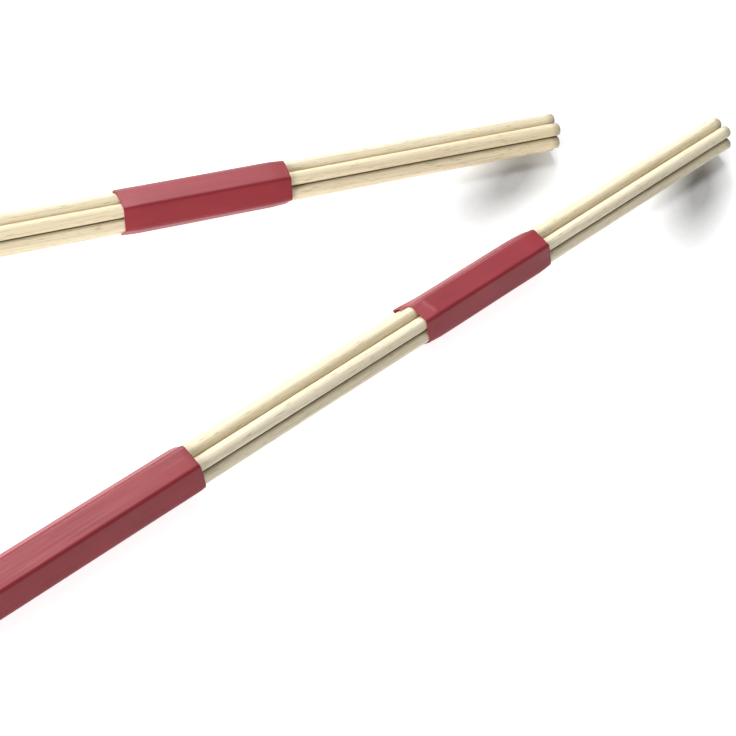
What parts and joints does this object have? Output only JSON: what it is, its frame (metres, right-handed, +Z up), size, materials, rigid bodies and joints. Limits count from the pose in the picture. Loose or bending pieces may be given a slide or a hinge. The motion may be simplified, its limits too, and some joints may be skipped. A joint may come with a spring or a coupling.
{
  "type": "pair of bundled dowel drum rods",
  "caption": "Pair of drum rods, each a bundle of thin birch dowels with a long red hexagonal grip sleeve and a short red sliding band.",
  "frame": {"origin": "middle of the floor rectangle that the lying pair covers, on the floor", "axes": "+X along the first rod towards its tip, +Z up from the floor, +Y from the first rod to the second"},
  "size_m": [0.446, 0.1822, 0.0148],
  "materials": {
    "birch": "bare sanded birch, unvarnished",
    "red_sleeve": "semi-gloss red soft PVC, drawn tight",
    "lining": "matt dark wrapping",
    "glue": "dried adhesive"
  },
  "bodies": {
    "stick_1": {"stick_1_dowel_centre": "birch", "stick_1_dowel_1": "birch", "stick_1_dowel_2": "birch", "stick_1_dowel_3": "birch", "stick_1_dowel_4": "birch", "stick_1_dowel_5": "birch", "stick_1_dowel_6": "birch", "stick_1_butt_glue": "glue", "stick_1_grip_lining": "lining", "stick_1_grip_sleeve": "red_sleeve"},
    "stick_1_band": {"stick_1_band_lining": "lining", "stick_1_band_sleeve": "red_sleeve"},
    "stick_2": {"stick_2_dowel_centre": "birch", "stick_2_dowel_1": "birch", "stick_2_dowel_2": "birch", "stick_2_dowel_3": "birch", "stick_2_dowel_4": "birch", "stick_2_dowel_5": "birch", "stick_2_dowel_6": "birch", "stick_2_butt_glue": "glue", "stick_2_grip_lining": "lining", "stick_2_grip_sleeve": "red_sleeve"},
    "stick_2_band": {"stick_2_band_lining": "lining", "stick_2_band_sleeve": "red_sleeve"}
  },
  "joints": [
    {"name": "stick_1_band_slide", "type": "slide", "parent": "stick_1", "child": "stick_1_band", "axis": [1, 0, 0], "range_m": [-0.09, 0.099]},
    {"name": "stick_2_lift", "type": "slide", "parent": "stick_1", "child": "stick_2", "axis": [0, 0, 1], "range_m": [0, 0.06]},
    {"name": "stick_2_band_slide", "type": "slide", "parent": "stick_2", "child": "stick_2_band", "axis": [0.9478, -0.319, 0], "range_m": [-0.086, 0.103]}
  ]
}
